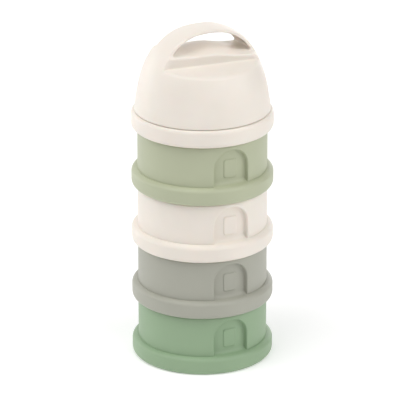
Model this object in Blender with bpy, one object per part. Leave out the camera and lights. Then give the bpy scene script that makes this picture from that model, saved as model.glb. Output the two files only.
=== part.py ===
"""Stackable formula dispenser: four identical screw-together cups under a domed carrying lid.

Metres, +Z up. The origin is the centre of the bottom rim, the stack's axis is Z, the arch-shaped
recesses face -Y and the lid's strap handle runs along X.
"""

import math

import bmesh
import bpy

MM = 0.001
SEGMENTS = 40
CLEARANCE = 0.3 * MM

# The stack
CUP_COUNT = 4
CUP_PITCH = 36.45 * MM

# The rounded skirt bead that every stacked piece has round its foot
BEAD_RADIUS = 43.0 * MM
RIM_RADIUS = 40.25 * MM
BEAD_FULL_FROM = 3.2 * MM
BEAD_FULL_TO = 8.0 * MM
BEAD_TOP = 11.0 * MM

# Cup
WALL_RADIUS = 39.3 * MM
WALL = 2.0 * MM
CUP_INNER_RADIUS = WALL_RADIUS - WALL
SHOULDER = CUP_PITCH - CLEARANCE
FLOOR_FILLET = 1.4 * MM

# Screw neck on top of each cup, and the socket under each cup and under the lid
NECK_RADIUS = 36.6 * MM
NECK_INNER_RADIUS = 34.2 * MM
NECK_HEIGHT = 8.0 * MM
NECK_ROOT_DROP = 0.7 * MM
SOCKET_RADIUS = 38.0 * MM

# Silicone ring that sits on a step inside the neck's lip
SEAT_RADIUS = 35.9 * MM
SEAT_DEPTH = 1.4 * MM
SEAL_PROUD = 0.6 * MM
SEAL_OUTER_RADIUS = SEAT_RADIUS - CLEARANCE
SEAL_INNER_RADIUS = NECK_INNER_RADIUS + 0.2 * MM
SEAL_CHAMFER = 0.35 * MM
SOCKET_DEPTH = SHOULDER + NECK_HEIGHT + SEAL_PROUD + CLEARANCE - CUP_PITCH
FLOOR_TOP = SOCKET_DEPTH + WALL

# Three-start right-hand thread
THREAD_STARTS = 3
THREAD_LEAD = 12.0 * MM
RIDGE_HEIGHT = 1.5 * MM
RIDGE_TIP_HEIGHT = 0.9 * MM
RIDGE_ROOT = 0.5 * MM
NECK_RIDGE_DEPTH = 0.9 * MM
NECK_RIDGE_ARC = math.radians(100)
NECK_RIDGE_START = 1.9 * MM
SOCKET_RIDGE_DEPTH = 1.0 * MM
SOCKET_RIDGE_ARC = math.radians(50)
SOCKET_RIDGE_STEP = THREAD_LEAD / THREAD_STARTS / 2
RIDGE_STEP = math.radians(10)

# Arch-shaped recess in the wall of each cup, with a small raised pad in it
ARCH_HALF_WIDTH = 11.45 * MM
ARCH_TOP = CUP_PITCH - 3.0 * MM
ARCH_DEPTH = 3.0 * MM
ARCH_STEPS = 10
ARCH_FLOOR_RADIUS = WALL_RADIUS - ARCH_DEPTH
ARCH_BACK_RADIUS = ARCH_FLOOR_RADIUS - 1.8 * MM
PAD_WIDTH = 9.1 * MM
PAD_HEIGHT = 11.4 * MM
PAD_CORNER = 1.5 * MM
PAD_PROUD = 0.8 * MM
PAD_CENTRE = CUP_PITCH - 15.5 * MM

# Lid: the threaded base ring, and the domed shell that snaps over its rim
LID_FOOT = CUP_COUNT * CUP_PITCH
LID_RING_TOP = 11.0 * MM
LID_RING_TOP_RADIUS = 41.3 * MM
LID_RIM_RADIUS = 38.3 * MM
LID_RIM_TOP = 14.0 * MM
DOME_FOOT = LID_RING_TOP + CLEARANCE
DOME_RADIUS = 41.14 * MM
DOME_TOP = 62.7 * MM
DOME_WALL = 2.4 * MM
DOME_STEPS = 12
DOME_RISE_POWER = 2.774
DOME_ROUND_POWER = 2.695
DOME_LEAN = 0.1475

# The lid's strap handle, the scoop on each side of it, and the crowned hump under it
STRAP_HALF_WIDTH = 8.7 * MM
STRAP_FLARE = 0.2
STRAP_THICKNESS = 1.7 * MM
STRAP_STEPS = 12
# The scoops' back walls run a few degrees askew of the handle
SCOOP_TURN = math.radians(-6)
LEDGE_SLOPE = math.radians(4.5)
CREASE = (14.4 * MM, 43.0 * MM)
HUMP_TOP = 51.3 * MM
HUMP_CROWN_RADIUS = 47.0 * MM
HUMP_CAP_RADIUS = 22.0 * MM
HUMP_SIDE_TOP = 48.3 * MM
HUMP_FALL = math.radians(3.4)
HUMP_CORNER = 0.6 * MM
HUMP_STEPS = 6
FAR = 60.0 * MM


def srgb(red, green, blue):
    """A linear colour from 0-255 display values."""

    def linear(value):
        share = value / 255
        return share / 12.92 if share <= 0.04045 else ((share + 0.055) / 1.055) ** 2.4

    return (linear(red), linear(green), linear(blue), 1.0)


def plastic(name, colour, roughness):
    material = bpy.data.materials.new(name)
    material.use_nodes = True
    material.diffuse_color = colour
    shader = material.node_tree.nodes["Principled BSDF"]
    shader.inputs["Base Color"].default_value = colour
    shader.inputs["Roughness"].default_value = roughness
    shader.inputs["Metallic"].default_value = 0.0
    return material


def mesh_from(name, points, faces):
    """A closed mesh with its faces turned outwards."""
    mesh = bpy.data.meshes.new(name)
    mesh.from_pydata(points, [], faces)
    shape = bmesh.new()
    shape.from_mesh(mesh)
    bmesh.ops.recalc_face_normals(shape, faces=shape.faces)
    shape.to_mesh(mesh)
    shape.free()
    return mesh


def turned(name, outline):
    """A closed outline of (radius, height) turned round Z. Points at radius 0 become poles."""
    points = []
    rings = []
    for radius, height in outline:
        count = SEGMENTS if radius > 0 else 1
        rings.append(range(len(points), len(points) + count))
        for step in range(count):
            angle = 2 * math.pi * step / SEGMENTS
            points.append((radius * math.cos(angle), radius * math.sin(angle), height))
    faces = []
    for ring, after in zip(rings, rings[1:] + rings[:1]):
        if len(ring) == 1 and len(after) == 1:
            continue
        for step in range(SEGMENTS):
            following = (step + 1) % SEGMENTS
            if len(ring) == 1:
                faces.append((ring[0], after[step], after[following]))
            elif len(after) == 1:
                faces.append((ring[step], ring[following], after[0]))
            else:
                faces.append((ring[step], ring[following], after[following], after[step]))
    return mesh_from(name, points, faces)


def prism(name, outline, place, start, end):
    """A closed 2-D outline extruded from start to end. place(u, v, depth) gives the 3-D point."""
    count = len(outline)
    points = [place(u, v, start) for u, v in outline]
    points += [place(u, v, end) for u, v in outline]
    faces = [tuple(range(count)), tuple(range(2 * count - 1, count - 1, -1))]
    for step in range(count):
        following = (step + 1) % count
        faces.append((step, following, count + following, count + step))
    return mesh_from(name, points, faces)


def towards_front(u, v, depth):
    """Outline in the XZ plane, extruded towards -Y."""
    return (u, -depth, v)


def along_scoops(u, v, depth):
    """u runs across the scoops' back walls, v up, and depth along the walls."""
    cosine, sine = math.cos(SCOOP_TURN), math.sin(SCOOP_TURN)
    return depth * cosine - u * sine, depth * sine + u * cosine, v


def along_hump(u, v, depth):
    """As along_scoops, but falling gently towards +X."""
    return along_scoops(u, v - depth * math.tan(HUMP_FALL), depth)


def upwards(u, v, depth):
    """Outline in the XY plane, extruded along Z."""
    return (u, v, depth)


def arc(centre, radii, first, last, steps):
    """Points on an elliptical arc, in degrees, both ends included."""
    points = []
    for step in range(steps + 1):
        angle = math.radians(first + (last - first) * step / steps)
        u = centre[0] + radii[0] * math.cos(angle)
        v = centre[1] + radii[1] * math.sin(angle)
        points.append((u, v))
    return points


def ridges(name, root_radius, tip_radius, first_height, first_angle, sweep):
    """The three equal helical ridges of a thread, joined in one mesh."""
    points = []
    faces = []
    steps = round(sweep / RIDGE_STEP)
    section = (
        (root_radius, -RIDGE_HEIGHT / 2),
        (tip_radius, -RIDGE_TIP_HEIGHT / 2),
        (tip_radius, RIDGE_TIP_HEIGHT / 2),
        (root_radius, RIDGE_HEIGHT / 2),
    )
    corners = len(section)
    for start in range(THREAD_STARTS):
        base = len(points)
        for step in range(steps + 1):
            turn = sweep * step / steps
            angle = first_angle + turn + 2 * math.pi * start / THREAD_STARTS
            centre = first_height + THREAD_LEAD * turn / (2 * math.pi)
            for radius, offset in section:
                points.append((radius * math.cos(angle), radius * math.sin(angle), centre + offset))
        last = base + steps * corners
        faces.append(tuple(range(base, base + corners)))
        faces.append(tuple(range(last + corners - 1, last - 1, -1)))
        for step in range(steps):
            here = base + step * corners
            for corner in range(corners):
                other = (corner + 1) % corners
                faces.append((here + corner, here + corners + corner,
                              here + corners + other, here + other))
    return mesh_from(name, points, faces)


def neck_ridges():
    return ridges("neck_thread", NECK_RADIUS - RIDGE_ROOT, NECK_RADIUS + NECK_RIDGE_DEPTH,
                  SHOULDER + NECK_RIDGE_START, 0.0, NECK_RIDGE_ARC)


def socket_ridges():
    """They lie half a start's pitch under the upper half of the ridges of the neck below."""
    lead_in = NECK_RIDGE_ARC - SOCKET_RIDGE_ARC
    closed_height = SHOULDER - CUP_PITCH + NECK_RIDGE_START - SOCKET_RIDGE_STEP
    first_height = closed_height + THREAD_LEAD * lead_in / (2 * math.pi)
    return ridges("socket_thread", SOCKET_RADIUS + RIDGE_ROOT, SOCKET_RADIUS - SOCKET_RIDGE_DEPTH,
                  first_height, lead_in, SOCKET_RIDGE_ARC)


def helper(name, mesh):
    """A shape that only cuts or adds to another, and is no piece of its own."""
    obj = bpy.data.objects.new(name, mesh)
    bpy.context.scene.collection.objects.link(obj)
    obj.hide_render = True
    obj.display_type = "WIRE"
    return obj


def combine(obj, operation, other):
    modifier = obj.modifiers.new(other.name, "BOOLEAN")
    modifier.operation = operation
    modifier.solver = "EXACT"
    modifier.object = other


def evaluated_mesh(obj):
    """The object's mesh with its modifiers applied."""
    graph = bpy.context.evaluated_depsgraph_get()
    return bpy.data.meshes.new_from_object(obj.evaluated_get(graph))


def piece(name, mesh, material, height):
    """A finished piece, standing with its origin on the stack's axis."""
    obj = bpy.data.objects.new(name, mesh)
    bpy.context.scene.collection.objects.link(obj)
    obj.location = (0.0, 0.0, height)
    if not mesh.materials:
        mesh.materials.append(None)
    obj.material_slots[0].link = "OBJECT"
    obj.material_slots[0].material = material
    mesh.shade_smooth()
    mesh.set_sharp_from_angle(angle=math.radians(35))
    return obj


def bead_outline(top_radius, top):
    """The bead's outer side, from its top down to the bottom rim."""
    upper = arc((top_radius, BEAD_FULL_TO), (BEAD_RADIUS - top_radius, top - BEAD_FULL_TO), 90, 0, 3)
    lower = arc((RIM_RADIUS, BEAD_FULL_FROM), (BEAD_RADIUS - RIM_RADIUS, BEAD_FULL_FROM), 0, -90, 2)
    return upper + lower


def cup_outline():
    lip_top = SHOULDER + NECK_HEIGHT
    seat = lip_top - SEAT_DEPTH
    neck_root = SHOULDER - NECK_ROOT_DROP
    slope = CUP_INNER_RADIUS - NECK_INNER_RADIUS
    neck = [
        (SEAT_RADIUS, lip_top),
        (NECK_RADIUS, lip_top),
        (NECK_RADIUS, SHOULDER),
        (WALL_RADIUS, SHOULDER),
    ]
    socket = [
        (SOCKET_RADIUS, 0.0),
        (SOCKET_RADIUS, SOCKET_DEPTH),
        (0.0, SOCKET_DEPTH),
    ]
    inside = [
        (0.0, FLOOR_TOP),
        (CUP_INNER_RADIUS - FLOOR_FILLET, FLOOR_TOP),
        (CUP_INNER_RADIUS, FLOOR_TOP + FLOOR_FILLET),
        (CUP_INNER_RADIUS, neck_root - slope),
        (NECK_INNER_RADIUS, neck_root),
        (NECK_INNER_RADIUS, seat),
        (SEAT_RADIUS, seat),
    ]
    return neck + bead_outline(WALL_RADIUS, BEAD_TOP) + socket + inside


def arch_outline(margin):
    """The arch's outline, made larger all round by margin. Its straight foot stands on the bead."""
    half_width = ARCH_HALF_WIDTH + margin
    spring = ARCH_TOP - ARCH_HALF_WIDTH
    foot = BEAD_TOP - margin
    crown = arc((0.0, spring), (half_width, half_width), 0, 180, ARCH_STEPS)
    return crown + [(-half_width, foot), (half_width, foot)]


def pad_outline():
    right = PAD_WIDTH / 2 - PAD_CORNER
    top = PAD_HEIGHT / 2 - PAD_CORNER
    corners = ((right, top, 0), (-right, top, 90), (-right, -top, 180), (right, -top, 270))
    points = []
    for u, v, angle in corners:
        points += arc((u, PAD_CENTRE + v), (PAD_CORNER, PAD_CORNER), angle, angle + 90, 2)
    return points


def between_radii(name, outline, inner_radius, outer_radius):
    """The part of a prism towards -Y that lies between two radii round the stack's axis."""
    sleeve = turned(name + "_sleeve", [
        (inner_radius, 0.0),
        (inner_radius, FAR),
        (outer_radius, FAR),
        (outer_radius, 0.0),
    ])
    shape = helper(name, prism(name, outline, towards_front, inner_radius / 2, outer_radius + 5 * MM))
    combine(shape, "INTERSECT", helper(name + "_sleeve", sleeve))
    return shape


def cup_mesh():
    """One moulded cup. All four cups of the stack are this same moulding."""
    cup = helper("cup", turned("cup", cup_outline()))
    wall_middle = WALL_RADIUS - WALL / 2
    floor_middle = ARCH_FLOOR_RADIUS - WALL / 2
    combine(cup, "UNION", between_radii("arch_back", arch_outline(WALL), ARCH_BACK_RADIUS, wall_middle))
    combine(cup, "DIFFERENCE", between_radii("arch_recess", arch_outline(0.0), ARCH_FLOOR_RADIUS, FAR))
    combine(cup, "UNION", between_radii("pad", pad_outline(), floor_middle, ARCH_FLOOR_RADIUS + PAD_PROUD))
    combine(cup, "UNION", helper("neck_thread", neck_ridges()))
    combine(cup, "UNION", helper("cup_socket_thread", socket_ridges()))
    return evaluated_mesh(cup)


def seal_mesh():
    """The silicone ring, in the height of the cup whose neck it sits on."""
    top = SHOULDER + NECK_HEIGHT + SEAL_PROUD
    foot = SHOULDER + NECK_HEIGHT - SEAT_DEPTH + CLEARANCE
    return turned("seal", [
        (SEAL_INNER_RADIUS, foot),
        (SEAL_INNER_RADIUS, top - SEAL_CHAMFER),
        ((SEAL_INNER_RADIUS + SEAL_OUTER_RADIUS) / 2, top),
        (SEAL_OUTER_RADIUS, top - SEAL_CHAMFER),
        (SEAL_OUTER_RADIUS, foot),
    ])


def lid_base_mesh():
    """The lid's lower ring: a socket like a cup's, closed by a disc, with a rim that holds the dome."""
    rim_inner_radius = LID_RIM_RADIUS - WALL
    outline = [
        (0.0, FLOOR_TOP),
        (rim_inner_radius, FLOOR_TOP),
        (rim_inner_radius, LID_RIM_TOP),
        (LID_RIM_RADIUS, LID_RIM_TOP),
        (LID_RIM_RADIUS, LID_RING_TOP),
    ]
    outline += bead_outline(LID_RING_TOP_RADIUS, LID_RING_TOP)
    outline += [
        (SOCKET_RADIUS, 0.0),
        (SOCKET_RADIUS, SOCKET_DEPTH),
        (0.0, SOCKET_DEPTH),
    ]
    base = helper("lid_ring", turned("lid_ring", outline))
    combine(base, "UNION", helper("lid_socket_thread", socket_ridges()))
    return evaluated_mesh(base)


def dome_outline(inset, foot):
    """The bell-shaped outside of the lid, made smaller all round by inset, and closed at its foot."""
    rise = DOME_TOP - LID_RING_TOP - inset
    points = []
    for step in range(DOME_STEPS + 1):
        turn = math.pi / 2 * (1 - step / DOME_STEPS)
        share = math.sin(turn) ** (2 / DOME_RISE_POWER)
        roundness = max(math.cos(turn), 0.0) ** (2 / DOME_ROUND_POWER)
        radius = (DOME_RADIUS - inset) * roundness * (1 - DOME_LEAN * share)
        height = DOME_FOOT if step == DOME_STEPS else LID_RING_TOP + rise * share
        points.append((0.0 if step == 0 else radius, height))
    if foot < DOME_FOOT:
        points.append((DOME_RADIUS - inset, foot))
    points.append((0.0, foot))
    return points


def mirrored(half):
    """A closed outline from its right half, which runs upwards."""
    return half + [(-u, v) for u, v in reversed(half)]


def beside_strap(side):
    """The open air beside the handle, whose width flares towards its feet."""
    outline = [(-FAR, side * FAR)]
    for step in range(STRAP_STEPS + 1):
        along = DOME_RADIUS * (2 * step / STRAP_STEPS - 1)
        outline.append((along, side * math.hypot(STRAP_HALF_WIDTH, STRAP_FLARE * along)))
    outline.append((FAR, side * FAR))
    return helper("beside_strap", prism("beside_strap", outline, upwards, CREASE[1] / 2, DOME_TOP + FAR))


def lid_roof(drop):
    """Everything below the ledges and the upright-walled hump, lowered and narrowed by drop."""
    crease_out, crease_height = CREASE
    ledge_end = crease_height - (FAR - crease_out) * math.tan(LEDGE_SLOPE)
    wall_out = crease_out - drop
    ledges = mirrored([(FAR, -FAR), (FAR, ledge_end - drop), (wall_out, crease_height - drop)])
    bar_top = HUMP_SIDE_TOP - drop
    bar = [(wall_out, 0.0), (wall_out, bar_top - HUMP_CORNER), (wall_out - HUMP_CORNER, bar_top)]
    cap = [(0.0, CREASE[1] / 2), (HUMP_CAP_RADIUS, CREASE[1] / 2)]
    for step in range(HUMP_STEPS, -1, -1):
        radius = HUMP_CAP_RADIUS * step / HUMP_STEPS
        cap.append((radius, HUMP_TOP - drop - radius ** 2 / (2 * HUMP_CROWN_RADIUS)))
    hump = helper("hump", turned("hump", cap))
    sides = mirrored([(wall_out - HUMP_CORNER, -FAR), (wall_out - HUMP_CORNER, FAR)])
    combine(hump, "INTERSECT", helper("hump_sides", prism("hump_sides", sides, along_scoops, -FAR, FAR)))
    roof = helper("roof", prism("roof", ledges, along_scoops, -FAR, FAR))
    combine(roof, "UNION", helper("bar", prism("bar", mirrored(bar), along_hump, -FAR, FAR)))
    combine(roof, "UNION", hump)
    return roof


def lid_dome_mesh():
    """The domed shell: two scoops, a finger gap under the strap, and a hollow that opens downwards."""
    dome = helper("dome", turned("dome", dome_outline(0.0, DOME_FOOT)))
    gap = helper("finger_gap", turned("finger_gap", dome_outline(STRAP_THICKNESS, DOME_FOOT)))
    for side in (-1, 1):
        combine(gap, "UNION", beside_strap(side))
    combine(gap, "DIFFERENCE", lid_roof(0.0))
    combine(dome, "DIFFERENCE", gap)
    hollow = helper("hollow", turned("hollow", dome_outline(DOME_WALL, 0.0)))
    combine(hollow, "INTERSECT", lid_roof(DOME_WALL))
    combine(dome, "DIFFERENCE", hollow)
    return evaluated_mesh(dome)


def build():
    for obj in list(bpy.data.objects):
        bpy.data.objects.remove(obj, do_unlink=True)

    cream = plastic("cream_plastic", srgb(231, 221, 212), 0.5)
    silicone = plastic("clear_silicone", srgb(236, 234, 228), 0.6)
    cup_plastics = (
        plastic("sage_plastic", srgb(176, 180, 157), 0.5),
        cream,
        plastic("grey_plastic", srgb(166, 166, 156), 0.5),
        plastic("green_plastic", srgb(146, 168, 139), 0.5),
    )

    piece("lid_dome", lid_dome_mesh(), cream, LID_FOOT)
    piece("lid_base", lid_base_mesh(), cream, LID_FOOT)
    cup = cup_mesh()
    seal = seal_mesh()
    for index, cup_plastic in enumerate(cup_plastics):
        number = index + 1
        foot = (CUP_COUNT - number) * CUP_PITCH
        piece(f"container_{number}", cup, cup_plastic, foot)
        piece(f"neck_seal_{number}", seal, silicone, foot)


build()
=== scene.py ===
"""Looks of the stackable formula dispenser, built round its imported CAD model.

The four cups and the lid are remade as fine meshes with their real fillets, threads and reliefs.
Lengths are in metres in the frame and in millimetres inside the mesh functions.
"""

import math

import bmesh
import bpy
import numpy as np
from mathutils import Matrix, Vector
from mathutils.geometry import delaunay_2d_cdt


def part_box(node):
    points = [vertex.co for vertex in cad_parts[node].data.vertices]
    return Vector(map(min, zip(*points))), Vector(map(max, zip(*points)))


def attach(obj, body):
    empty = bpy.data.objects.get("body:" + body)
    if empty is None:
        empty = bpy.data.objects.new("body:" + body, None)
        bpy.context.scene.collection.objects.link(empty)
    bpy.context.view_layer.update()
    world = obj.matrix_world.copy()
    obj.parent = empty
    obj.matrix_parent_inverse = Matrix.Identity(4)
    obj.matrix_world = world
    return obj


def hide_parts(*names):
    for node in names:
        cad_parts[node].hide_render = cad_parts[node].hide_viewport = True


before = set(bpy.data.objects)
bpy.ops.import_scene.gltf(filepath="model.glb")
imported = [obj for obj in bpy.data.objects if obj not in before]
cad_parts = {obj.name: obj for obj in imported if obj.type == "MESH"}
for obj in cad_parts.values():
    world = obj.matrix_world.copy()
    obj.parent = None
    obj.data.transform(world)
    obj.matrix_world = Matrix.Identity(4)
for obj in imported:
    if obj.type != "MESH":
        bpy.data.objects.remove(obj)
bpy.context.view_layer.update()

MM = 0.001

# ---------------------------------------------------------------- sizes read from the frame, in mm

CUPS = ("container_1", "container_2", "container_3", "container_4")
_, CUP_HIGH = (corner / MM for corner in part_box("container_4"))
CUP_PITCH = (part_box("container_3")[0].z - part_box("container_4")[0].z) / MM
SEAL_LOW, SEAL_HIGH = (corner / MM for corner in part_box("neck_seal_4"))
RING_LOW, RING_HIGH = (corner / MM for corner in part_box("lid_base"))
_, DOME_HIGH = (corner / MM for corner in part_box("lid_dome"))
BEAD_RADIUS = CUP_HIGH.y
NECK_TOP = CUP_HIGH.z
LID_FOOT = RING_LOW.z
DOME_TOP = DOME_HIGH.z - LID_FOOT

# ---------------------------------------------------------------- moulding sizes, in mm

# Cup: a straight wall on a rounded bead, with a threaded socket underneath
WALL_RADIUS = 39.3
CUP_INNER_RADIUS = 37.3
SHOULDER = CUP_PITCH - 0.3
FLOOR_TOP = 10.6
FLOOR_FILLET = 1.4
# Radii of the mesh rings across a flat floor or socket roof
FLOOR_RINGS = (24.0, 10.0, 0.0)
SOCKET_DEPTH = 8.6
SOCKET_RADIUS = 38.0
SOCKET_THREAD_TOP = 6.4
SOCKET_ROOF_FILLET = 0.6
RIM_RADIUS = 40.25
BEAD_FULL_FROM = 3.2
BEAD_FULL_TO = 8.0
BEAD_TOP = 11.0

# Neck: threaded outside, with a seat for the seal ring inside its top
NECK_RADIUS = 36.6
NECK_INNER_RADIUS = 34.2
# The threaded stretch stops this short of the shoulder and of the neck's top
NECK_PLAIN_END = 0.4
NECK_MIDDLE = SHOULDER + 3.0
NECK_ROOT = SHOULDER - 0.7
SEAT_RADIUS = 35.9
SEAT_HEIGHT = NECK_TOP - 1.4
SEAT_CHAMFER = 0.1
SEAT_EDGE = 0.3
LIP_EDGE = 0.25

# Thread: equal right-hand helical ridges on the neck, and shorter ones in the socket
THREAD_STARTS = 3
THREAD_LEAD = 12.0
RIDGE_HEIGHT = 1.5
RIDGE_TIP_HEIGHT = 0.9
RIDGE_FLANK = (RIDGE_HEIGHT - RIDGE_TIP_HEIGHT) / 2
RIDGE_TAPER = math.radians(14)
NECK_RIDGE_DEPTH = 0.9
NECK_RIDGE_ARC = math.radians(100)
NECK_RIDGE_START = SHOULDER + 1.9
SOCKET_RIDGE_DEPTH = 1.0
SOCKET_RIDGE_ARC = math.radians(50)

# Arch-shaped recess in the wall, and the raised square pad in it
ARCH_HALF_WIDTH = 11.45
ARCH_TOP = CUP_PITCH - 3.0
ARCH_SPRING = ARCH_TOP - ARCH_HALF_WIDTH
ARCH_DEPTH = 3.0
ARCH_BACK_STEP = 2.8
ARCH_BACK_BLEND = 3.2
ARCH_WINDOW = math.radians(24)
PAD_WIDTH = 9.1
PAD_HEIGHT = 11.4
PAD_CORNER = 1.5
PAD_PROUD = 0.5
PAD_CENTRE = CUP_PITCH - 15.5

# Lid: a bell-shaped dome that snaps over the rim of its base ring
DOME_FOOT = 11.0
DOME_GAP = 0.3
DOME_RADIUS = 41.14
DOME_WALL = 2.4
DOME_RISE_POWER = 2.774
DOME_ROUND_POWER = 2.695
DOME_LEAN = 0.1475
LID_RIM_RADIUS = 38.3
LID_RIM_WALL = 2.0
LID_RIM_EDGE = 0.5
LID_RIM_INNER_EDGE = 0.3
LID_RING_TOP_RADIUS = 41.3
LID_FLOOR_FILLET = 0.6
LID_FLOOR_RINGS = (0.0, 12.0, 26.0)
SEAL_CHAMFER = 0.2


# ---------------------------------------------------------------- mesh building

JOIN_DISTANCE = 1e-7
SHARP_ANGLE = math.radians(35)


def joined_mesh(name, points, faces):
    """A smooth-shaded mesh from points in mm. Points that meet are joined, and faces turned outwards."""
    mesh = bpy.data.meshes.new(name)
    mesh.from_pydata((np.asarray(points) * MM).tolist(), [], faces)
    shape = bmesh.new()
    shape.from_mesh(mesh)
    bmesh.ops.remove_doubles(shape, verts=shape.verts, dist=JOIN_DISTANCE)
    bmesh.ops.recalc_face_normals(shape, faces=shape.faces)
    shape.to_mesh(mesh)
    shape.free()
    mesh.shade_smooth()
    mesh.set_sharp_from_angle(angle=SHARP_ANGLE)
    return mesh


class Sheets:
    """Collects sheets of points and faces that later become one mesh."""

    def __init__(self):
        self.points = []
        self.faces = []

    def add(self, points, faces):
        base = len(self.points)
        self.points.extend(tuple(point) for point in points)
        self.faces.extend(tuple(base + index for index in face) for face in faces)

    def grid(self, rows, closed=False):
        """Quads between rows of equal length. A row of one point is a pole."""
        points = []
        starts = []
        for row in rows:
            starts.append(len(points))
            points.extend(row)
        faces = []
        for below, above in zip(range(len(rows) - 1), range(1, len(rows))):
            low, high = rows[below], rows[above]
            width = max(len(low), len(high))
            for step in range(width if closed else width - 1):
                following = (step + 1) % width
                corners = [starts[below] + (step if len(low) > 1 else 0),
                           starts[below] + (following if len(low) > 1 else 0),
                           starts[above] + (following if len(high) > 1 else 0),
                           starts[above] + (step if len(high) > 1 else 0)]
                faces.append(tuple(dict.fromkeys(corners)))
        self.add(points, faces)

    def fill(self, outline, hole, seeds, place):
        """Triangles over a flat outline, less a hole, through the seed points, then put in place."""
        flat = [Vector(point) for point in list(outline) + list(hole) + list(seeds)]
        loops = []
        for first, count in ((0, len(outline)), (len(outline), len(hole))):
            loops += [(first + step, first + (step + 1) % count) for step in range(count)]
        made, _, triangles, _, _, _ = delaunay_2d_cdt(flat, loops, [], 0, JOIN_DISTANCE)
        kept = []
        for triangle in triangles:
            centre = sum((made[index] for index in triangle), Vector((0, 0))) / 3
            if inside(centre, outline) and not (hole and inside(centre, hole)):
                kept.append(tuple(triangle))
        self.add([place(point.x, point.y) for point in made], kept)


def inside(point, outline):
    """Whether a flat point lies within a closed outline."""
    x, y = point
    crossed = False
    for (x0, y0), (x1, y1) in zip(outline, list(outline[1:]) + [outline[0]]):
        if (y0 > y) != (y1 > y) and x < x0 + (y - y0) * (x1 - x0) / (y1 - y0):
            crossed = not crossed
    return crossed


def turned_point(radius, angle, height):
    """A point at an angle round the stack, counted from the arches' side (-Y) towards +X."""
    return (radius * math.sin(angle), -radius * math.cos(angle), height)


def ring(radius, height, angles):
    """A row of points round the stack. radius may be a number or a function of angle and height."""
    if not callable(radius) and radius == 0:
        return [(0.0, 0.0, height)]
    return [turned_point(radius(angle, height) if callable(radius) else radius, angle, height)
            for angle in angles]


def round_arc(centre, radii, first, last, steps):
    """Points on an elliptical arc in degrees, both ends included."""
    turns = [math.radians(first + (last - first) * step / steps) for step in range(steps + 1)]
    return [(centre[0] + radii[0] * math.cos(turn), centre[1] + radii[1] * math.sin(turn))
            for turn in turns]


def spread(first, last, steps):
    return [first + (last - first) * step / steps for step in range(steps + 1)]


def smooth_step(value):
    share = min(max(value, 0.0), 1.0)
    return share * share * (3 - 2 * share)


# ---------------------------------------------------------------- threads

def ridge_share(angle, height, first_height, first_angle, sweep):
    """How far a thread's ridge stands out at a point, from 0 to 1. It tapers away at both ends."""
    most = 0.0
    start_turn = 2 * math.pi / THREAD_STARTS
    for start in range(THREAD_STARTS):
        turn = (angle - math.pi / 2 - first_angle - start * start_turn) % (2 * math.pi)
        if turn > sweep:
            continue
        off = abs(height - first_height - THREAD_LEAD * turn / (2 * math.pi))
        across = smooth_step((RIDGE_HEIGHT / 2 - off) / RIDGE_FLANK)
        ends = smooth_step(min(turn, sweep - turn) / RIDGE_TAPER)
        most = max(most, across * ends)
    return most


def neck_radius(angle, height):
    share = ridge_share(angle, height, NECK_RIDGE_START, 0.0, NECK_RIDGE_ARC)
    return NECK_RADIUS + NECK_RIDGE_DEPTH * share


def socket_radius(angle, height):
    lead_in = NECK_RIDGE_ARC - SOCKET_RIDGE_ARC
    half_pitch = THREAD_LEAD / THREAD_STARTS / 2
    closed_height = NECK_RIDGE_START - CUP_PITCH - half_pitch
    first_height = closed_height + THREAD_LEAD * lead_in / (2 * math.pi)
    share = ridge_share(angle, height, first_height, lead_in, SOCKET_RIDGE_ARC)
    return SOCKET_RADIUS - SOCKET_RIDGE_DEPTH * share


# ---------------------------------------------------------------- cup

BACK_ANGLES = spread(ARCH_WINDOW, 2 * math.pi - ARCH_WINDOW, 104)
EDGE_RADIUS = 0.5
SHOULDER_EDGE = 1.2

# Across the recess's rim: how far in from the nominal outline, and how deep
RIM_EDGE = 0.7
RIM_CORNER = 0.4
RIM_DRAFT = 0.05
RIM_SECTION = (
    [(RIM_EDGE * (math.sin(turn) - 1), RIM_EDGE * (1 - math.cos(turn))) for turn in
     (math.radians(degrees) for degrees in (0, 18, 36, 54, 72, 86))]
    + [(RIM_DRAFT + RIM_CORNER * (1 - math.cos(turn)), ARCH_DEPTH - RIM_CORNER * (1 - math.sin(turn)))
       for turn in (math.radians(degrees) for degrees in (0, 18, 36, 54, 72, 90))]
)

# Across the pad's edge: how far out from its outline, and how far it stands off the recess's floor
PAD_EDGE = 0.35
PAD_SECTION = [(PAD_EDGE * (1 - 2 * share), PAD_PROUD * smooth_step(share)) for share in spread(0, 1, 8)]

# Heights above the bead of the rows that follow the curve at the recess's foot
FILLET_STEPS = (0.0, 0.12, 0.35, 0.7, 1.15, 1.7, 2.3, ARCH_DEPTH)
RECESS_ROWS_FROM = 15.0

# Distances between points of the recess's sheets
PAD_POINT_STEP = 1.2
WALL_SEED_MARGIN = 0.55
RECESS_SEED_MARGIN = 0.1


def foot_share(height):
    """The recess's floor curves out to the bead in a quarter circle at its foot."""
    rise = min(max((height - BEAD_TOP) / ARCH_DEPTH, 0.0), 1.0)
    return math.sqrt(1 - (1 - rise) ** 2)


def on_wall(across, height, depth=0.0):
    """A point of the outer wall, across mm round from the recess's middle and depth mm in."""
    angle = across / WALL_RADIUS
    return turned_point(WALL_RADIUS - depth * foot_share(height), angle, height)


def arch_line(inset):
    """The recess's outline from its left foot over the top to its right foot, inset by so much."""
    reach = ARCH_HALF_WIDTH - inset
    side = [BEAD_TOP + rise for rise in FILLET_STEPS]
    side += spread(side[-1], ARCH_SPRING, 6)[1:]
    left = [(-reach, height) for height in side[:-1]]
    crown = round_arc((0.0, ARCH_SPRING), (reach, reach), 180, 0, 28)
    right = [(reach, height) for height in reversed(side[:-1])]
    return left + crown + right


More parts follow.
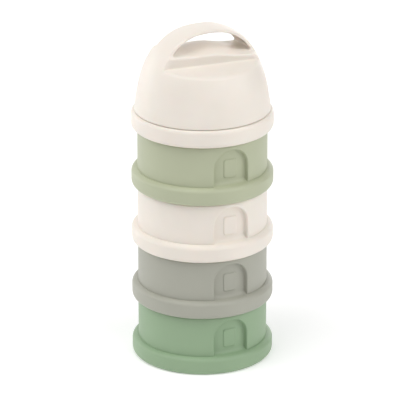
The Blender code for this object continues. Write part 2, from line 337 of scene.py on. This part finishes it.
def pad_line(offset):
    """The pad's rounded outline, offset outwards."""
    across = PAD_WIDTH / 2 - PAD_CORNER
    along = PAD_HEIGHT / 2 - PAD_CORNER
    corner = PAD_CORNER + offset
    points = []
    for u, v, first in ((across, along, 0), (-across, along, 90), (-across, -along, 180),
                        (across, -along, 270)):
        points += round_arc((u, PAD_CENTRE + v), (corner, corner), first, first + 90, 5)
    joined = []
    for (u0, v0), (u1, v1) in zip(points, points[1:] + points[:1]):
        count = max(1, round(math.hypot(u1 - u0, v1 - v0) / PAD_POINT_STEP))
        joined += [(u0 + (u1 - u0) * step / count, v0 + (v1 - v0) * step / count)
                   for step in range(count)]
    return joined


def seeds_between(outline, hole, columns, rows, margin=WALL_SEED_MARGIN):
    """Grid points inside the outline and outside the hole, kept off both."""
    borders = list(outline) + list(hole)
    found = []
    for across in columns:
        for height in rows:
            if not inside((across, height), outline) or (hole and inside((across, height), hole)):
                continue
            if min(math.hypot(across - u, height - v) for u, v in borders) > margin:
                found.append((across, height))
    return found


def add_recess(sheets, wall_rows, top_columns):
    """The stretch of wall with the arch-shaped recess. Returns the angles along its bottom edge."""
    half_width = WALL_RADIUS * ARCH_WINDOW
    rim_lines = [arch_line(inset) for inset, _ in RIM_SECTION]
    sheets.grid([[on_wall(u, v, depth) for u, v in line]
                 for line, (_, depth) in zip(rim_lines, RIM_SECTION)])

    outer = rim_lines[0]
    beside = spread(-half_width, outer[0][0], 3)
    window = [(u, BEAD_TOP) for u in beside[:-1]] + outer
    window += [(-u, BEAD_TOP) for u in reversed(beside[:-1])]
    window += [(half_width, height) for height in wall_rows[1:]]
    window += [(u, wall_rows[-1]) for u in reversed(top_columns[1:-1])]
    window += [(-half_width, height) for height in reversed(wall_rows[1:])]
    columns = spread(-half_width, half_width, 22)
    rows = spread(BEAD_TOP, wall_rows[-1], 17)
    sheets.fill(window, [], seeds_between(window, [], columns, rows), on_wall)

    inner = rim_lines[-1]
    foot = spread(inner[-1][0], inner[0][0], 16)[1:-1]
    floor = inner + [(u, BEAD_TOP) for u in foot]
    pad_foot = pad_line(PAD_SECTION[0][0])
    rows = [BEAD_TOP + rise for rise in FILLET_STEPS[1:]] + spread(RECESS_ROWS_FROM, ARCH_TOP, 14)
    columns = spread(inner[0][0], inner[-1][0], 16)
    seeds = seeds_between(floor, pad_foot, columns, rows, margin=RECESS_SEED_MARGIN)
    sheets.fill(floor, pad_foot, seeds, lambda u, v: on_wall(u, v, ARCH_DEPTH))

    pad_lines = [pad_line(offset) for offset, _ in PAD_SECTION]
    pad_rows = [[on_wall(u, v, ARCH_DEPTH - proud) for u, v in line + line[:1]]
                for line, (_, proud) in zip(pad_lines, PAD_SECTION)]
    sheets.grid(pad_rows)
    top = pad_lines[-1]
    columns = spread(-PAD_WIDTH / 2, PAD_WIDTH / 2, 8)
    rows = spread(PAD_CENTRE - PAD_HEIGHT / 2, PAD_CENTRE + PAD_HEIGHT / 2, 10)
    sheets.fill(top, [], seeds_between(top, [], columns, rows),
                lambda u, v: on_wall(u, v, ARCH_DEPTH - PAD_PROUD))

    feet = [line[0][0] for line in rim_lines]
    bottom = beside[:-1] + feet + list(reversed(foot))
    bottom += [-u for u in reversed(feet)] + [-u for u in reversed(beside[:-1])]
    return [u / WALL_RADIUS for u in bottom]


def inner_wall(angle, height):
    """The inside of the wall. It stands in behind the arch-shaped recess."""
    across = WALL_RADIUS * ((angle + math.pi) % (2 * math.pi) - math.pi)
    above_spring = max(height - ARCH_SPRING, 0.0)
    into = ARCH_HALF_WIDTH - math.hypot(across, above_spring)
    return CUP_INNER_RADIUS - ARCH_BACK_STEP * smooth_step((into + ARCH_BACK_BLEND) / ARCH_BACK_BLEND)


def inner_corner(inward):
    """The rounded corner between the inside of the wall and the cup's floor, so far in from the wall."""
    return lambda angle, height: inner_wall(angle, FLOOR_TOP + FLOOR_FILLET) - inward


def bead_side(top_radius, top):
    """The bead's rounded outer side from its top down to the bottom rim: (radius, height) points."""
    upper = round_arc((top_radius, BEAD_FULL_TO),
                      (BEAD_RADIUS - top_radius, top - BEAD_FULL_TO), 90, 0, 12)
    lower = round_arc((RIM_RADIUS, BEAD_FULL_FROM),
                      (BEAD_RADIUS - RIM_RADIUS, BEAD_FULL_FROM), 0, -90, 12)
    return upper + lower


def socket_rows():
    """From the bottom rim up the threaded socket to the middle of its roof."""
    rim = round_arc((SOCKET_RADIUS + EDGE_RADIUS, EDGE_RADIUS), (EDGE_RADIUS, EDGE_RADIUS),
                    -90, -180, 4)
    thread = [(socket_radius, height) for height in spread(EDGE_RADIUS, SOCKET_THREAD_TOP, 24)[1:]]
    fillet = SOCKET_ROOF_FILLET
    roof = round_arc((SOCKET_RADIUS - fillet, SOCKET_DEPTH - fillet), (fillet, fillet), 0, 90, 4)
    return rim + thread + roof + [(radius, SOCKET_DEPTH) for radius in FLOOR_RINGS]


def make_cup(name):
    """One moulded cup with its foot at height 0."""
    sheets = Sheets()
    shoulder_foot = SHOULDER - SHOULDER_EDGE
    wall_rows = spread(BEAD_TOP, shoulder_foot, 14)
    half_width = WALL_RADIUS * ARCH_WINDOW
    top_columns = spread(-half_width, half_width, 24)
    bottom_angles = add_recess(sheets, wall_rows, top_columns)
    sheets.grid([ring(WALL_RADIUS, height, BACK_ANGLES) for height in wall_rows])

    below = bottom_angles + BACK_ANGLES[1:-1]
    outside = bead_side(WALL_RADIUS, BEAD_TOP) + socket_rows()
    sheets.grid([ring(radius, height, below) for radius, height in outside], closed=True)

    above = [u / WALL_RADIUS for u in top_columns] + BACK_ANGLES[1:-1]
    shoulder = round_arc((WALL_RADIUS - SHOULDER_EDGE, shoulder_foot),
                         (SHOULDER_EDGE, SHOULDER_EDGE), 0, 90, 7)
    neck = [(NECK_RADIUS + NECK_PLAIN_END, SHOULDER),
            (NECK_RADIUS + NECK_PLAIN_END / 4, SHOULDER + NECK_PLAIN_END / 4)]
    neck += [(neck_radius, height)
             for height in spread(SHOULDER + NECK_PLAIN_END, NECK_TOP - NECK_PLAIN_END, 26)]
    lip = round_arc((NECK_RADIUS - LIP_EDGE, NECK_TOP - LIP_EDGE), (LIP_EDGE, LIP_EDGE), 0, 90, 3)
    lip += [(SEAT_RADIUS + SEAT_CHAMFER, NECK_TOP), (SEAT_RADIUS, NECK_TOP - SEAT_CHAMFER),
            (SEAT_RADIUS, SEAT_HEIGHT)]
    lip += round_arc((NECK_INNER_RADIUS + SEAT_EDGE, SEAT_HEIGHT - SEAT_EDGE),
                     (SEAT_EDGE, SEAT_EDGE), 90, 180, 3)
    slope = CUP_INNER_RADIUS - NECK_INNER_RADIUS
    inside_rows = [(NECK_INNER_RADIUS, NECK_MIDDLE), (NECK_INNER_RADIUS, NECK_ROOT)]
    inside_rows += [(NECK_INNER_RADIUS + slope / 2, NECK_ROOT - slope / 2)]
    wall_foot = FLOOR_TOP + FLOOR_FILLET
    inside_rows += [(inner_wall, height) for height in spread(NECK_ROOT - slope, wall_foot, 15)]
    corner = [(inner_corner(-inward), height) for inward, height in
              round_arc((-FLOOR_FILLET, wall_foot), (FLOOR_FILLET, FLOOR_FILLET), 0, -90, 5)[1:]]
    floor = [(radius, FLOOR_TOP) for radius in FLOOR_RINGS]
    rows = shoulder + neck + lip + inside_rows + corner + floor
    sheets.grid([ring(radius, height, above) for radius, height in rows], closed=True)
    return joined_mesh(name, sheets.points, sheets.faces)


# ---------------------------------------------------------------- seals and the lid's base ring

ROUND_ANGLES = spread(0, 2 * math.pi, 144)[:-1]


def make_turned(name, outline):
    """A closed outline of (radius, height) turned round the stack."""
    sheets = Sheets()
    rows = [ring(radius, height, ROUND_ANGLES) for radius, height in outline]
    if outline[0][0] != 0:
        rows.append(rows[0])
    sheets.grid(rows, closed=True)
    return joined_mesh(name, sheets.points, sheets.faces)


def make_seal(name):
    """The soft ring on a cup's neck, with a rounded top and a chamfered foot."""
    middle = (SEAT_RADIUS + NECK_INNER_RADIUS) / 2
    half_width = SEAL_HIGH.y - middle
    foot = SEAL_LOW.z
    top = SEAL_HIGH.z
    outline = round_arc((middle, top - half_width), (half_width, half_width), 0, 180, 12)
    outline += [(middle - half_width, foot + SEAL_CHAMFER),
                (middle - half_width + SEAL_CHAMFER, foot)]
    outline += [(middle + half_width - SEAL_CHAMFER, foot),
                (middle + half_width, foot + SEAL_CHAMFER)]
    return make_turned(name, outline)


def make_lid_ring(name):
    """The lid's threaded base ring, with the rim inside it that the dome snaps over."""
    rim_inner = LID_RIM_RADIUS - LID_RIM_WALL
    rim_top = RING_HIGH.z - RING_LOW.z
    outline = [(radius, FLOOR_TOP) for radius in LID_FLOOR_RINGS]
    for centre_radius, centre_height, corner, first, last in (
            (rim_inner - LID_FLOOR_FILLET, FLOOR_TOP + LID_FLOOR_FILLET, LID_FLOOR_FILLET, -90, 0),
            (rim_inner + LID_RIM_INNER_EDGE, rim_top - LID_RIM_INNER_EDGE, LID_RIM_INNER_EDGE, 180, 90),
            (LID_RIM_RADIUS - LID_RIM_EDGE, rim_top - LID_RIM_EDGE, LID_RIM_EDGE, 90, 0)):
        outline += round_arc((centre_radius, centre_height), (corner, corner), first, last, 3)
    outline += [(LID_RIM_RADIUS, DOME_FOOT)]
    outline += bead_side(LID_RING_TOP_RADIUS, DOME_FOOT)
    outline += socket_rows()
    return make_turned(name, outline)


# ---------------------------------------------------------------- domed lid, as a signed distance

# Lid coordinates in mm: x along the handle, y across it, z above the lid's foot
STRAP_HALF_WIDTH = 8.7
STRAP_FLARE = 0.2
STRAP_THICKNESS = 1.7
STRAP_EDGE = 0.8
# The scoops' back walls run a few degrees askew of the handle
SCOOP_TURN = math.radians(-6)
LEDGE_SLOPE = math.radians(4.5)
LEDGE_EDGE = 1.8
CREASE_OUT, CREASE_HEIGHT = 14.4, 43.0
CREASE_FILLET = 0.8
HUMP_TOP = 51.3
HUMP_CROWN_RADIUS = 47.0
HUMP_SIDE_TOP = 48.3
HUMP_FALL = math.radians(3.4)
HUMP_EDGE = 1.3
HUMP_FILLET = 1.0
LEG_FILLET = 2.0
DOME_FOOT_EDGE = 0.35
# The size of a cell when the distance is turned into a mesh, and the step its slope is taken over
VOXEL = 0.6
SLOPE_STEP = 0.02


def round_and(a, b, radius):
    """Where both shapes are, with the edge between them rounded."""
    corner = np.hypot(np.maximum(a + radius, 0), np.maximum(b + radius, 0))
    return np.minimum(-radius, np.maximum(a, b)) + corner


def round_or(a, b, radius):
    """Where either shape is, with a fillet between them."""
    return -round_and(-a, -b, radius)


def dome_distance(x, y, z):
    """Distance outside the bell-shaped outer surface."""
    radius = np.hypot(x, y)
    rise = np.maximum(z - DOME_FOOT, 0) / (DOME_TOP - DOME_FOOT)
    reach = DOME_RADIUS * (1 - DOME_LEAN * rise)
    share = radius / reach
    total = share ** DOME_ROUND_POWER + rise ** DOME_RISE_POWER + 1e-9
    power = 2 / (DOME_ROUND_POWER + DOME_RISE_POWER)
    chain = power * total ** (power - 1)
    by_share = chain * DOME_ROUND_POWER * share ** (DOME_ROUND_POWER - 1)
    by_rise = chain * DOME_RISE_POWER * rise ** (DOME_RISE_POWER - 1)
    by_rise += by_share * share * DOME_LEAN * DOME_RADIUS / reach
    slope = np.hypot(by_share / reach, by_rise / (DOME_TOP - DOME_FOOT))
    return (total ** power - 1) / np.maximum(slope, 1e-3)


def ledge_distance(out, z):
    """Distance above the sloping ledges on both sides."""
    fall = (out - CREASE_OUT) * math.tan(LEDGE_SLOPE)
    return (z - CREASE_HEIGHT + fall) * math.cos(LEDGE_SLOPE)


def hump_distance(along, out, z):
    """Distance outside the upright-walled, crowned hump under the handle."""
    crown = z - HUMP_TOP + (along ** 2 + out ** 2) / (2 * HUMP_CROWN_RADIUS)
    sides = z - HUMP_SIDE_TOP + along * math.tan(HUMP_FALL)
    return round_and(round_or(crown, sides, HUMP_FILLET), out - CREASE_OUT, HUMP_EDGE)


def lid_distance(points):
    """Distance outside the domed shell's material."""
    x, y, z = points.T
    dome = dome_distance(x, y, z)
    cosine, sine = math.cos(SCOOP_TURN), math.sin(SCOOP_TURN)
    along, out = x * cosine + y * sine, np.abs(y * cosine - x * sine)
    ledge = ledge_distance(out, z)
    hump = hump_distance(along, out, z)
    half_width = np.hypot(STRAP_HALF_WIDTH, STRAP_FLARE * x)
    strap = round_and(dome, np.abs(y) - half_width, STRAP_EDGE)
    strap = round_and(strap, -(dome + STRAP_THICKNESS), STRAP_EDGE / 2)
    middle = round_or(round_and(dome, hump, LEDGE_EDGE), strap, LEG_FILLET)
    solid = round_or(round_and(dome, ledge, LEDGE_EDGE), middle, CREASE_FILLET)
    solid = np.maximum(solid, dome)
    hollow = np.maximum(dome, np.minimum(ledge, hump)) + DOME_WALL
    solid = np.maximum(solid, -hollow)
    return round_and(solid, DOME_FOOT + DOME_GAP - z, DOME_FOOT_EDGE)


def slopes(distance, points):
    """The gradient of a distance at each point."""
    columns = []
    for step in np.eye(3) * SLOPE_STEP:
        columns.append((distance(points + step) - distance(points - step)) / (2 * SLOPE_STEP))
    return np.stack(columns, axis=1)


def surface_of(distance, low, high):
    """(points, quads, normals) of the surface where a distance is 0, one point per crossed cell."""
    counts = [int(math.ceil((end - start) / VOXEL)) + 1 for start, end in zip(low, high)]
    axes = [start + VOXEL * np.arange(count) for start, count in zip(low, counts)]
    lattice = np.stack(np.meshgrid(*axes, indexing="ij"), axis=-1).reshape(-1, 3)
    values = distance(lattice).reshape(counts)

    # Each edge of the lattice that crosses the surface gives its four cells a crossing point
    shape = tuple(count - 1 for count in counts)
    total = np.zeros(shape + (3,))
    crossings = np.zeros(shape)
    quads_at = []
    for axis in range(3):
        ahead = np.moveaxis(values, axis, 0)
        first, second = ahead[:-1], ahead[1:]
        crossed = (first < 0) != (second < 0)
        place = first / np.where(crossed, first - second, 1.0)
        crossed, place = np.moveaxis(crossed, 0, axis), np.moveaxis(place, 0, axis)
        others = [other for other in range(3) if other != axis]
        for near, far in ((0, 0), (0, 1), (1, 0), (1, 1)):
            window = [slice(None)] * 3
            for other, shift in zip(others, (near, far)):
                window[other] = slice(shift, shift + shape[other])
            window = tuple(window)
            hit = crossed[window]
            crossings += hit
            total[..., axis] += np.where(hit, place[window], 0)
            total[..., others[0]] += hit * near
            total[..., others[1]] += hit * far
        where = np.argwhere(crossed)
        inner = np.all([(where[:, other] > 0) & (where[:, other] < shape[other])
                        for other in others], axis=0)
        quads_at.append((axis, others, where[inner]))

    # A crossed cell's point is the mean of its crossings
    cells = crossings > 0
    number = np.full(shape, -1)
    number[cells] = np.arange(cells.sum())
    index = np.argwhere(cells)
    points = np.asarray(low) + VOXEL * (index + total[cells] / crossings[cells][:, None])

    # The four cells round each crossed edge make a quad
    quads = []
    for _, others, where in quads_at:
        corners = []
        for near, far in ((0, 0), (1, 0), (1, 1), (0, 1)):
            cell = where.copy()
            cell[:, others[0]] -= near
            cell[:, others[1]] -= far
            corners.append(number[tuple(cell.T)])
        quads.append(np.stack(corners, axis=1))

    # The points are moved onto the surface along its slope
    for _ in range(3):
        slope = slopes(distance, points)
        step = distance(points) / np.maximum((slope ** 2).sum(axis=1), 0.25)
        points -= np.clip(step, -VOXEL / 2, VOXEL / 2)[:, None] * slope
    normals = slopes(distance, points)
    normals /= np.linalg.norm(normals, axis=1)[:, None]
    return points, np.concatenate(quads), normals


def make_lid_dome(name):
    """The domed shell with its two scoops, strap handle and hollow."""
    reach = DOME_RADIUS + 2 * VOXEL
    points, quads, normals = surface_of(
        lid_distance,
        (-reach, -reach, DOME_FOOT - VOXEL),
        (reach, reach, DOME_TOP + 2 * VOXEL),
    )
    corners = points[quads]
    across = np.cross(corners[:, 2] - corners[:, 0], corners[:, 3] - corners[:, 1])
    backwards = (across * normals[quads[:, 0]]).sum(axis=1) < 0
    quads[backwards] = quads[backwards][:, ::-1]
    mesh = bpy.data.meshes.new(name)
    mesh.from_pydata((points * MM).tolist(), [], quads.tolist())
    mesh.shade_smooth()
    mesh.normals_split_custom_set_from_vertices(normals.tolist())
    return mesh


# ---------------------------------------------------------------- materials

def linear(red, green, blue):
    """A linear colour from 0-255 display values."""
    shares = [value / 255 for value in (red, green, blue)]
    return tuple(share / 12.92 if share <= 0.04045 else ((share + 0.055) / 1.055) ** 2.4
                 for share in shares) + (1.0,)


SUBSURFACE_SCALE = 0.002
CLOUD_SCALE = 45.0
CLOUD_SHADES = (0.975, 1.015)
CLOUD_STOPS = (0.3, 0.7)
GRAIN_SCALE = 900.0
GRAIN_BUMP_STRENGTH = 0.06
GRAIN_BUMP_DISTANCE = 0.0001
ROUGHNESS_SPREAD = 0.05


def moulded(name, colour, roughness, subsurface=0.0):
    """Moulded plastic or rubber: an even colour with faint cloudiness and a fine satin grain."""
    material = bpy.data.materials.new(name)
    material.use_nodes = True
    tree = material.node_tree
    shader = tree.nodes["Principled BSDF"]
    shader.inputs["Subsurface Weight"].default_value = subsurface
    shader.inputs["Subsurface Scale"].default_value = SUBSURFACE_SCALE
    place = tree.nodes.new("ShaderNodeTexCoord")

    def noise(scale, detail):
        node = tree.nodes.new("ShaderNodeTexNoise")
        node.inputs["Scale"].default_value = scale
        node.inputs["Detail"].default_value = detail
        tree.links.new(place.outputs["Object"], node.inputs["Vector"])
        return node.outputs["Fac"]

    cloud = noise(CLOUD_SCALE, 2.0)
    tint = tree.nodes.new("ShaderNodeValToRGB")
    for stop, shade, position in zip(tint.color_ramp.elements, CLOUD_SHADES, CLOUD_STOPS):
        stop.color = tuple(min(channel * shade, 1.0) for channel in colour[:3]) + (1.0,)
        stop.position = position
    tree.links.new(cloud, tint.inputs["Fac"])
    tree.links.new(tint.outputs["Color"], shader.inputs["Base Color"])

    grain = noise(GRAIN_SCALE, 3.0)
    gloss = tree.nodes.new("ShaderNodeMapRange")
    gloss.inputs["To Min"].default_value = roughness - ROUGHNESS_SPREAD
    gloss.inputs["To Max"].default_value = roughness + ROUGHNESS_SPREAD
    tree.links.new(grain, gloss.inputs["Value"])
    tree.links.new(gloss.outputs["Result"], shader.inputs["Roughness"])
    bump = tree.nodes.new("ShaderNodeBump")
    bump.inputs["Strength"].default_value = GRAIN_BUMP_STRENGTH
    bump.inputs["Distance"].default_value = GRAIN_BUMP_DISTANCE
    tree.links.new(grain, bump.inputs["Height"])
    tree.links.new(bump.outputs["Normal"], shader.inputs["Normal"])
    return material


PLASTIC_ROUGHNESS = 0.45
SILICONE_ROUGHNESS = 0.55
CREAM = moulded("cream_plastic", linear(234, 226, 216), PLASTIC_ROUGHNESS, subsurface=0.1)
SAGE = moulded("sage_plastic", linear(179, 184, 156), PLASTIC_ROUGHNESS)
GREY = moulded("grey_plastic", linear(168, 168, 156), PLASTIC_ROUGHNESS)
GREEN = moulded("green_plastic", linear(145, 170, 137), PLASTIC_ROUGHNESS)
SILICONE = moulded("silicone", linear(236, 234, 228), SILICONE_ROUGHNESS, subsurface=0.3)


# ---------------------------------------------------------------- pieces

def show(name, mesh, material, foot, body, node):
    """A finished piece, standing with its origin on the stack's axis, that stands for a CAD node."""
    obj = bpy.data.objects.new(name, mesh)
    bpy.context.scene.collection.objects.link(obj)
    obj.location = (0.0, 0.0, foot * MM)
    mesh.materials.append(material)
    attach(obj, body)
    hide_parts(node)


def build_object():
    cup = make_cup("cup")
    seal = make_seal("seal")
    finishes = ((SAGE, "sage_plastic"), (CREAM, "cream_plastic"), (GREY, "grey_plastic"),
                (GREEN, "green_plastic"))
    for index, (material, slot) in enumerate(finishes):
        number = index + 1
        foot = (len(CUPS) - number) * CUP_PITCH
        node = f"container_{number}"
        show(f"cup_{number}", cup.copy(), material, foot, node, node)
        show(f"seal_{number}", seal.copy(), SILICONE, foot, f"seal_{number}",
             f"neck_seal_{number}")
    show("lid_shell", make_lid_dome("lid_shell"), CREAM, LID_FOOT, "lid", "lid_dome")
    show("lid_ring", make_lid_ring("lid_ring"), CREAM, LID_FOOT, "lid", "lid_base")


# ---------------------------------------------------------------- studio

CAMERA_AZIMUTH = math.radians(-27.0)
CAMERA_ELEVATION = math.radians(21.05)
CAMERA_DISTANCE = 1.978
CAMERA_LENS = 293.2
CAMERA_SENSOR = 36.0
CAMERA_CLIP_END = 40.0
AIM_HEIGHT = 0.0976
AIM_LEFT = 0.00146

WORLD_STRENGTH = 0.11
FLOOR_GLOW = 0.28
FLOOR_REACH = 15.0
FLOOR_SHADE = 0.85
FLOOR_ROUGHNESS = 0.9
FLOOR_SPECULAR = 0.1
SOFTBOX_SIZE = 0.8
SOFTBOX_DISTANCE = 1.2
SOFTBOX_AIM_HEIGHT = 0.1
# Azimuth from the camera and elevation in degrees, and watts
SOFTBOXES = (
    (-45, 62, 6.4),
    (45, 62, 2.2),
    (40, 35, 3.2),
    (-80, 35, 3.2),
    (80, 35, 2.9),
    (80, 5, 1.4),
    (-120, 5, 4.6),
    (-160, 5, 1.2),
    (160, 5, 4.6),
    (-160, 35, 2.3),
)


def towards(azimuth, elevation):
    """The direction from the object to a place round it. Azimuth 0 is the arches' side, -Y."""
    return Vector((math.sin(azimuth) * math.cos(elevation),
                   -math.cos(azimuth) * math.cos(elevation), math.sin(elevation)))


def add_camera():
    camera = bpy.data.objects.new("camera", bpy.data.cameras.new("camera"))
    bpy.context.scene.collection.objects.link(camera)
    right = Vector((math.cos(CAMERA_AZIMUTH), math.sin(CAMERA_AZIMUTH), 0.0))
    back = towards(CAMERA_AZIMUTH, CAMERA_ELEVATION)
    camera.location = Vector((0.0, 0.0, AIM_HEIGHT)) - right * AIM_LEFT + back * CAMERA_DISTANCE
    camera.rotation_euler = (-back).to_track_quat("-Z", "Y").to_euler()
    camera.data.lens = CAMERA_LENS
    camera.data.sensor_width = CAMERA_SENSOR
    camera.data.clip_end = CAMERA_CLIP_END
    bpy.context.scene.camera = camera


def add_softbox(name, azimuth, elevation, watts):
    """A square soft light aimed at the middle of the stack. Azimuth is counted from the camera."""
    light = bpy.data.lights.new(name, "AREA")
    light.shape = "SQUARE"
    light.size = SOFTBOX_SIZE
    light.energy = watts
    obj = bpy.data.objects.new(name, light)
    bpy.context.scene.collection.objects.link(obj)
    out = towards(CAMERA_AZIMUTH + math.radians(azimuth), math.radians(elevation))
    obj.location = Vector((0.0, 0.0, SOFTBOX_AIM_HEIGHT)) + out * SOFTBOX_DISTANCE
    obj.rotation_euler = (-out).to_track_quat("-Z", "Y").to_euler()


def add_studio():
    scene = bpy.context.scene
    scene.view_settings.view_transform = "Standard"
    world = bpy.data.worlds.new("studio")
    scene.world = world
    world.use_nodes = True
    world.node_tree.nodes["Background"].inputs["Color"].default_value = (1.0, 1.0, 1.0, 1.0)
    world.node_tree.nodes["Background"].inputs["Strength"].default_value = WORLD_STRENGTH

    floor_mesh = bpy.data.meshes.new("floor")
    corners = [(FLOOR_REACH * side_x, FLOOR_REACH * side_y, 0.0)
               for side_x, side_y in ((-1, -1), (1, -1), (1, 1), (-1, 1))]
    floor_mesh.from_pydata(corners, [], [(0, 1, 2, 3)])
    floor = bpy.data.objects.new("floor", floor_mesh)
    scene.collection.objects.link(floor)
    paper = bpy.data.materials.new("paper")
    paper.use_nodes = True
    shader = paper.node_tree.nodes["Principled BSDF"]
    shader.inputs["Base Color"].default_value = (FLOOR_SHADE, FLOOR_SHADE, FLOOR_SHADE, 1.0)
    shader.inputs["Roughness"].default_value = FLOOR_ROUGHNESS
    shader.inputs["Specular IOR Level"].default_value = FLOOR_SPECULAR
    shader.inputs["Emission Color"].default_value = (1.0, 1.0, 1.0, 1.0)
    shader.inputs["Emission Strength"].default_value = FLOOR_GLOW
    floor_mesh.materials.append(paper)

    for azimuth, elevation, watts in SOFTBOXES:
        add_softbox(f"softbox_{azimuth}_{elevation}", azimuth, elevation, watts)


build_object()
add_studio()
add_camera()
